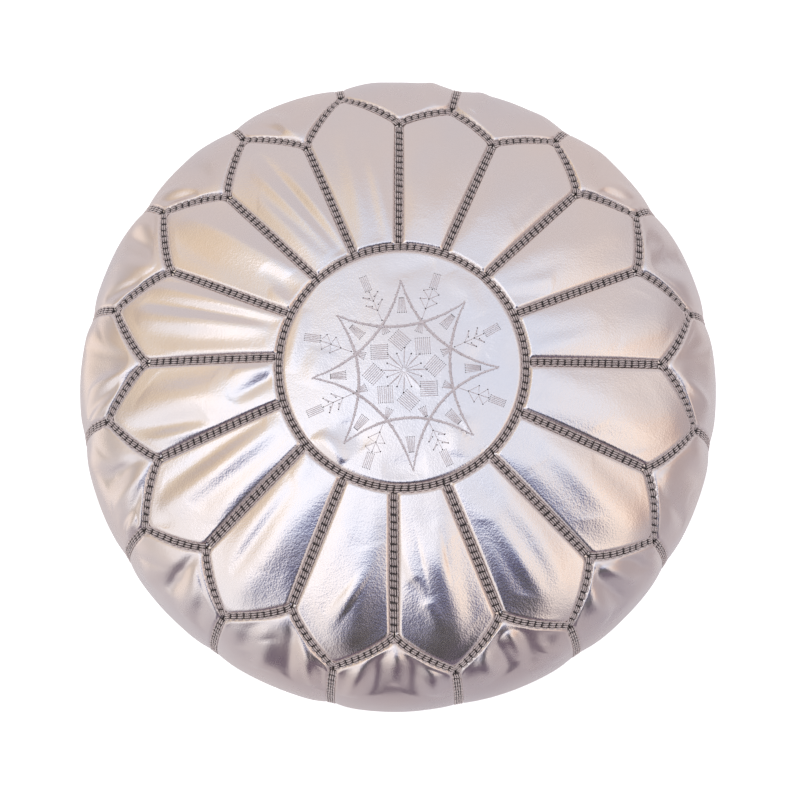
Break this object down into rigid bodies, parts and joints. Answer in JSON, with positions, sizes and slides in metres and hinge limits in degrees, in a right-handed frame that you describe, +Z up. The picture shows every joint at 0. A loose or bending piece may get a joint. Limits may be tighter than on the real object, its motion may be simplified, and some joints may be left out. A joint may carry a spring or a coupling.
{
  "type": "moroccan leather pouf",
  "caption": "Round stuffed pouf in metallic leather: embroidered medallion, ring of petals, side panels, laced braid on the seams and a zip under the base.",
  "frame": {"origin": "centre of the base, on the floor", "axes": "+Z up through the medallion; the zip under the base runs along X and closes towards +X"},
  "size_m": [0.52, 0.52, 0.277],
  "materials": {
    "leather_top": "metallic rose-silver, soft creased",
    "leather_side": "metallic rose-silver, soft creased",
    "leather_base": "metallic rose-silver, matte",
    "braid_cord": "laced taupe cord",
    "embroidery_thread": "satin stitch",
    "zip_tape": "woven herringbone",
    "zip_metal": "satin",
    "sewing_thread": "twisted thread",
    "liner_cotton": "plain woven cotton",
    "filling_cotton": "loose cotton filling"
  },
  "bodies": {
    "cover": {"medallion": "leather_top", "medallion_embroidery": "embroidery_thread", "medallion_braid": "braid_cord", "petal_01": "leather_top", "petal_02": "leather_top", "petal_03": "leather_top", "petal_04": "leather_top", "petal_05": "leather_top", "petal_06": "leather_top", "petal_07": "leather_top", "petal_08": "leather_top", "petal_09": "leather_top", "petal_10": "leather_top", "petal_11": "leather_top", "petal_12": "leather_top", "petal_13": "leather_top", "petal_14": "leather_top", "petal_15": "leather_top", "petal_16": "leather_top", "petal_braids": "braid_cord", "scallop_braid": "braid_cord", "side_panel_01": "leather_side", "side_panel_02": "leather_side", "side_panel_03": "leather_side", "side_panel_04": "leather_side", "side_panel_05": "leather_side", "side_panel_06": "leather_side", "side_panel_07": "leather_side", "side_panel_08": "leather_side", "side_panel_09": "leather_side", "side_panel_10": "leather_side", "side_panel_11": "leather_side", "side_panel_12": "leather_side", "side_panel_13": "leather_side", "side_panel_14": "leather_side", "side_panel_15": "leather_side", "side_panel_16": "leather_side", "side_braids": "braid_cord", "base_panel_front": "leather_base", "base_panel_back": "leather_base", "zip_tape_front": "zip_tape", "zip_tape_back": "zip_tape", "zip_teeth_front": "zip_metal", "zip_teeth_back": "zip_metal", "zip_top_stops": "zip_metal", "zip_bottom_stop": "zip_metal", "zip_stitching": "sewing_thread", "liner": "liner_cotton", "filling": "filling_cotton"},
    "slider": {"zip_slider": "zip_metal"},
    "pull_tab": {"zip_pull": "zip_metal"}
  },
  "joints": [
    {"name": "zip_slide", "type": "slide", "parent": "cover", "child": "slider", "axis": [-1, 0, 0], "range_m": [0, 0.264], "deforming": ["zip_teeth_front", "zip_teeth_back"]},
    {"name": "pull_swing", "type": "hinge", "parent": "slider", "child": "pull_tab", "pos_m": [0.141, 0, 0.0059], "axis": [0, -1, 0], "range_deg": [0, 160]}
  ]
}
